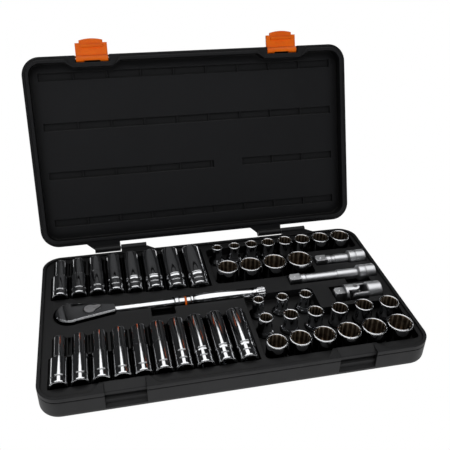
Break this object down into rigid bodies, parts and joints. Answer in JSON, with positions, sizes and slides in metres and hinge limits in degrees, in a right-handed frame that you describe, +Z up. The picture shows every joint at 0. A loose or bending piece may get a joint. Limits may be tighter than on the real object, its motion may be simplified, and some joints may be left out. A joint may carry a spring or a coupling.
{
  "type": "socket wrench set in case",
  "caption": "Hinged plastic case with latches, open to show a fitted tray of chrome sockets, a ratchet, extensions and a universal joint that lift out.",
  "frame": {"origin": "centre of the base half's flat underside", "axes": "+Z up out of the open base, -Y towards the latch side, +Y towards the hinges and open lid, +X to the right of someone at the latch side"},
  "size_m": [0.456, 0.3868, 0.3003],
  "materials": {
    "black_plastic": "fine grained",
    "orange_plastic": "smooth",
    "chrome": "polished",
    "steel": "satin"
  },
  "bodies": {
    "base": {"case_base": "black_plastic", "hinge_pins": "steel"},
    "lid": {"case_lid": "black_plastic", "latch_pins": "steel"},
    "latch_left": {"latch_left": "orange_plastic"},
    "latch_right": {"latch_right": "orange_plastic"},
    "ratchet": {"ratchet_body": "chrome", "grip_ring": "orange_plastic"},
    "lever": {"reversing_lever": "steel"},
    "anvil": {"drive_anvil": "steel"},
    "extension_short": {"extension_short": "chrome"},
    "extension_long": {"extension_long": "chrome"},
    "joint_socket_end": {"joint_socket_end": "chrome"},
    "joint_cross": {"joint_cross": "steel"},
    "joint_drive_end": {"joint_drive_end": "chrome"},
    "metric_socket_10": {"metric_socket_10": "chrome"},
    "metric_socket_11": {"metric_socket_11": "chrome"},
    "metric_socket_12": {"metric_socket_12": "chrome"},
    "metric_socket_13": {"metric_socket_13": "chrome"},
    "metric_socket_14": {"metric_socket_14": "chrome"},
    "metric_socket_15": {"metric_socket_15": "chrome"},
    "metric_socket_16": {"metric_socket_16": "chrome"},
    "metric_socket_17": {"metric_socket_17": "chrome"},
    "metric_socket_18": {"metric_socket_18": "chrome"},
    "metric_socket_19": {"metric_socket_19": "chrome"},
    "metric_socket_20": {"metric_socket_20": "chrome"},
    "metric_socket_21": {"metric_socket_21": "chrome"},
    "metric_socket_22": {"metric_socket_22": "chrome"},
    "metric_socket_23": {"metric_socket_23": "chrome"},
    "metric_socket_24": {"metric_socket_24": "chrome"},
    "inch_socket_3_8": {"inch_socket_3_8": "chrome"},
    "inch_socket_7_16": {"inch_socket_7_16": "chrome"},
    "inch_socket_1_2": {"inch_socket_1_2": "chrome"},
    "inch_socket_9_16": {"inch_socket_9_16": "chrome"},
    "inch_socket_5_8": {"inch_socket_5_8": "chrome"},
    "inch_socket_11_16": {"inch_socket_11_16": "chrome"},
    "inch_socket_3_4": {"inch_socket_3_4": "chrome"},
    "inch_socket_13_16": {"inch_socket_13_16": "chrome"},
    "inch_socket_7_8": {"inch_socket_7_8": "chrome"},
    "inch_socket_15_16": {"inch_socket_15_16": "chrome"},
    "inch_socket_1": {"inch_socket_1": "chrome"},
    "inch_socket_1_1_16": {"inch_socket_1_1_16": "chrome"},
    "deep_metric_socket_10": {"deep_metric_socket_10": "chrome"},
    "deep_metric_socket_11": {"deep_metric_socket_11": "chrome"},
    "deep_metric_socket_12": {"deep_metric_socket_12": "chrome"},
    "deep_metric_socket_13": {"deep_metric_socket_13": "chrome"},
    "deep_metric_socket_14": {"deep_metric_socket_14": "chrome"},
    "deep_metric_socket_15": {"deep_metric_socket_15": "chrome"},
    "deep_metric_socket_16": {"deep_metric_socket_16": "chrome"},
    "deep_metric_socket_17": {"deep_metric_socket_17": "chrome"},
    "deep_metric_socket_18": {"deep_metric_socket_18": "chrome"},
    "deep_metric_socket_19": {"deep_metric_socket_19": "chrome"},
    "deep_inch_socket_7_16": {"deep_inch_socket_7_16": "chrome"},
    "deep_inch_socket_1_2": {"deep_inch_socket_1_2": "chrome"},
    "deep_inch_socket_9_16": {"deep_inch_socket_9_16": "chrome"},
    "deep_inch_socket_5_8": {"deep_inch_socket_5_8": "chrome"},
    "deep_inch_socket_11_16": {"deep_inch_socket_11_16": "chrome"},
    "deep_inch_socket_3_4": {"deep_inch_socket_3_4": "chrome"},
    "deep_inch_socket_13_16": {"deep_inch_socket_13_16": "chrome"},
    "deep_inch_socket_7_8": {"deep_inch_socket_7_8": "chrome"}
  },
  "joints": [
    {"name": "lid_hinge", "type": "hinge", "parent": "base", "child": "lid", "pos_m": [0, 0.1395, 0.032], "axis": [-1, 0, 0], "range_deg": [-111.6, 0]},
    {"name": "latch_left_hinge", "type": "hinge", "parent": "lid", "child": "latch_left", "pos_m": [-0.134, 0.24291, 0.27607], "axis": [-1, 0, 0], "range_deg": [-90, 0]},
    {"name": "latch_right_hinge", "type": "hinge", "parent": "lid", "child": "latch_right", "pos_m": [0.134, 0.24291, 0.27607], "axis": [-1, 0, 0], "range_deg": [-90, 0]},
    {"name": "ratchet_lift", "type": "slide", "parent": "base", "child": "ratchet", "axis": [0, 0, 1], "range_m": [0, 0.045]},
    {"name": "reversing_lever_turn", "type": "hinge", "parent": "ratchet", "child": "lever", "pos_m": [-0.1676, 0.0085, 0.033], "axis": [0, 0, 1], "range_deg": [-40, 0]},
    {"name": "drive_anvil_turn", "type": "hinge", "parent": "ratchet", "child": "anvil", "pos_m": [-0.1916, 0.0085, 0.016], "axis": [0, 0, 1], "continuous": true},
    {"name": "extension_short_lift", "type": "slide", "parent": "base", "child": "extension_short", "axis": [0, 0, 1], "range_m": [0, 0.045]},
    {"name": "extension_long_lift", "type": "slide", "parent": "base", "child": "extension_long", "axis": [0, 0, 1], "range_m": [0, 0.045]},
    {"name": "universal_joint_lift", "type": "slide", "parent": "base", "child": "joint_socket_end", "axis": [0, 0, 1], "range_m": [0, 0.045]},
    {"name": "universal_joint_raise", "type": "hinge", "parent": "joint_socket_end", "child": "joint_cross", "pos_m": [0.1741, -0.01646, 0.028], "axis": [0, 1, 0], "range_deg": [0, 45]},
    {"name": "universal_joint_swing", "type": "hinge", "parent": "joint_cross", "child": "joint_drive_end", "pos_m": [0.1741, -0.01646, 0.028], "axis": [0, 0, 1], "range_deg": [-15, 15]},
    {"name": "metric_socket_10_lift", "type": "slide", "parent": "base", "child": "metric_socket_10", "axis": [0, 0, 1], "range_m": [0, 0.045]},
    {"name": "metric_socket_11_lift", "type": "slide", "parent": "base", "child": "metric_socket_11", "axis": [0, 0, 1], "range_m": [0, 0.045]},
    {"name": "metric_socket_12_lift", "type": "slide", "parent": "base", "child": "metric_socket_12", "axis": [0, 0, 1], "range_m": [0, 0.045]},
    {"name": "metric_socket_13_lift", "type": "slide", "parent": "base", "child": "metric_socket_13", "axis": [0, 0, 1], "range_m": [0, 0.045]},
    {"name": "metric_socket_14_lift", "type": "slide", "parent": "base", "child": "metric_socket_14", "axis": [0, 0, 1], "range_m": [0, 0.045]},
    {"name": "metric_socket_15_lift", "type": "slide", "parent": "base", "child": "metric_socket_15", "axis": [0, 0, 1], "range_m": [0, 0.045]},
    {"name": "metric_socket_16_lift", "type": "slide", "parent": "base", "child": "metric_socket_16", "axis": [0, 0, 1], "range_m": [0, 0.045]},
    {"name": "metric_socket_17_lift", "type": "slide", "parent": "base", "child": "metric_socket_17", "axis": [0, 0, 1], "range_m": [0, 0.045]},
    {"name": "metric_socket_18_lift", "type": "slide", "parent": "base", "child": "metric_socket_18", "axis": [0, 0, 1], "range_m": [0, 0.045]},
    {"name": "metric_socket_19_lift", "type": "slide", "parent": "base", "child": "metric_socket_19", "axis": [0, 0, 1], "range_m": [0, 0.045]},
    {"name": "metric_socket_20_lift", "type": "slide", "parent": "base", "child": "metric_socket_20", "axis": [0, 0, 1], "range_m": [0, 0.045]},
    {"name": "metric_socket_21_lift", "type": "slide", "parent": "base", "child": "metric_socket_21", "axis": [0, 0, 1], "range_m": [0, 0.045]},
    {"name": "metric_socket_22_lift", "type": "slide", "parent": "base", "child": "metric_socket_22", "axis": [0, 0, 1], "range_m": [0, 0.045]},
    {"name": "metric_socket_23_lift", "type": "slide", "parent": "base", "child": "metric_socket_23", "axis": [0, 0, 1], "range_m": [0, 0.045]},
    {"name": "metric_socket_24_lift", "type": "slide", "parent": "base", "child": "metric_socket_24", "axis": [0, 0, 1], "range_m": [0, 0.045]},
    {"name": "inch_socket_3_8_lift", "type": "slide", "parent": "base", "child": "inch_socket_3_8", "axis": [0, 0, 1], "range_m": [0, 0.045]},
    {"name": "inch_socket_7_16_lift", "type": "slide", "parent": "base", "child": "inch_socket_7_16", "axis": [0, 0, 1], "range_m": [0, 0.045]},
    {"name": "inch_socket_1_2_lift", "type": "slide", "parent": "base", "child": "inch_socket_1_2", "axis": [0, 0, 1], "range_m": [0, 0.045]},
    {"name": "inch_socket_9_16_lift", "type": "slide", "parent": "base", "child": "inch_socket_9_16", "axis": [0, 0, 1], "range_m": [0, 0.045]},
    {"name": "inch_socket_5_8_lift", "type": "slide", "parent": "base", "child": "inch_socket_5_8", "axis": [0, 0, 1], "range_m": [0, 0.045]},
    {"name": "inch_socket_11_16_lift", "type": "slide", "parent": "base", "child": "inch_socket_11_16", "axis": [0, 0, 1], "range_m": [0, 0.045]},
    {"name": "inch_socket_3_4_lift", "type": "slide", "parent": "base", "child": "inch_socket_3_4", "axis": [0, 0, 1], "range_m": [0, 0.045]},
    {"name": "inch_socket_13_16_lift", "type": "slide", "parent": "base", "child": "inch_socket_13_16", "axis": [0, 0, 1], "range_m": [0, 0.045]},
    {"name": "inch_socket_7_8_lift", "type": "slide", "parent": "base", "child": "inch_socket_7_8", "axis": [0, 0, 1], "range_m": [0, 0.045]},
    {"name": "inch_socket_15_16_lift", "type": "slide", "parent": "base", "child": "inch_socket_15_16", "axis": [0, 0, 1], "range_m": [0, 0.045]},
    {"name": "inch_socket_1_lift", "type": "slide", "parent": "base", "child": "inch_socket_1", "axis": [0, 0, 1], "range_m": [0, 0.045]},
    {"name": "inch_socket_1_1_16_lift", "type": "slide", "parent": "base", "child": "inch_socket_1_1_16", "axis": [0, 0, 1], "range_m": [0, 0.045]},
    {"name": "deep_metric_socket_10_lift", "type": "slide", "parent": "base", "child": "deep_metric_socket_10", "axis": [0, 0, 1], "range_m": [0, 0.045]},
    {"name": "deep_metric_socket_11_lift", "type": "slide", "parent": "base", "child": "deep_metric_socket_11", "axis": [0, 0, 1], "range_m": [0, 0.045]},
    {"name": "deep_metric_socket_12_lift", "type": "slide", "parent": "base", "child": "deep_metric_socket_12", "axis": [0, 0, 1], "range_m": [0, 0.045]},
    {"name": "deep_metric_socket_13_lift", "type": "slide", "parent": "base", "child": "deep_metric_socket_13", "axis": [0, 0, 1], "range_m": [0, 0.045]},
    {"name": "deep_metric_socket_14_lift", "type": "slide", "parent": "base", "child": "deep_metric_socket_14", "axis": [0, 0, 1], "range_m": [0, 0.045]},
    {"name": "deep_metric_socket_15_lift", "type": "slide", "parent": "base", "child": "deep_metric_socket_15", "axis": [0, 0, 1], "range_m": [0, 0.045]},
    {"name": "deep_metric_socket_16_lift", "type": "slide", "parent": "base", "child": "deep_metric_socket_16", "axis": [0, 0, 1], "range_m": [0, 0.045]},
    {"name": "deep_metric_socket_17_lift", "type": "slide", "parent": "base", "child": "deep_metric_socket_17", "axis": [0, 0, 1], "range_m": [0, 0.045]},
    {"name": "deep_metric_socket_18_lift", "type": "slide", "parent": "base", "child": "deep_metric_socket_18", "axis": [0, 0, 1], "range_m": [0, 0.045]},
    {"name": "deep_metric_socket_19_lift", "type": "slide", "parent": "base", "child": "deep_metric_socket_19", "axis": [0, 0, 1], "range_m": [0, 0.045]},
    {"name": "deep_inch_socket_7_16_lift", "type": "slide", "parent": "base", "child": "deep_inch_socket_7_16", "axis": [0, 0, 1], "range_m": [0, 0.045]},
    {"name": "deep_inch_socket_1_2_lift", "type": "slide", "parent": "base", "child": "deep_inch_socket_1_2", "axis": [0, 0, 1], "range_m": [0, 0.045]},
    {"name": "deep_inch_socket_9_16_lift", "type": "slide", "parent": "base", "child": "deep_inch_socket_9_16", "axis": [0, 0, 1], "range_m": [0, 0.045]},
    {"name": "deep_inch_socket_5_8_lift", "type": "slide", "parent": "base", "child": "deep_inch_socket_5_8", "axis": [0, 0, 1], "range_m": [0, 0.045]},
    {"name": "deep_inch_socket_11_16_lift", "type": "slide", "parent": "base", "child": "deep_inch_socket_11_16", "axis": [0, 0, 1], "range_m": [0, 0.045]},
    {"name": "deep_inch_socket_3_4_lift", "type": "slide", "parent": "base", "child": "deep_inch_socket_3_4", "axis": [0, 0, 1], "range_m": [0, 0.045]},
    {"name": "deep_inch_socket_13_16_lift", "type": "slide", "parent": "base", "child": "deep_inch_socket_13_16", "axis": [0, 0, 1], "range_m": [0, 0.045]},
    {"name": "deep_inch_socket_7_8_lift", "type": "slide", "parent": "base", "child": "deep_inch_socket_7_8", "axis": [0, 0, 1], "range_m": [0, 0.045]}
  ]
}
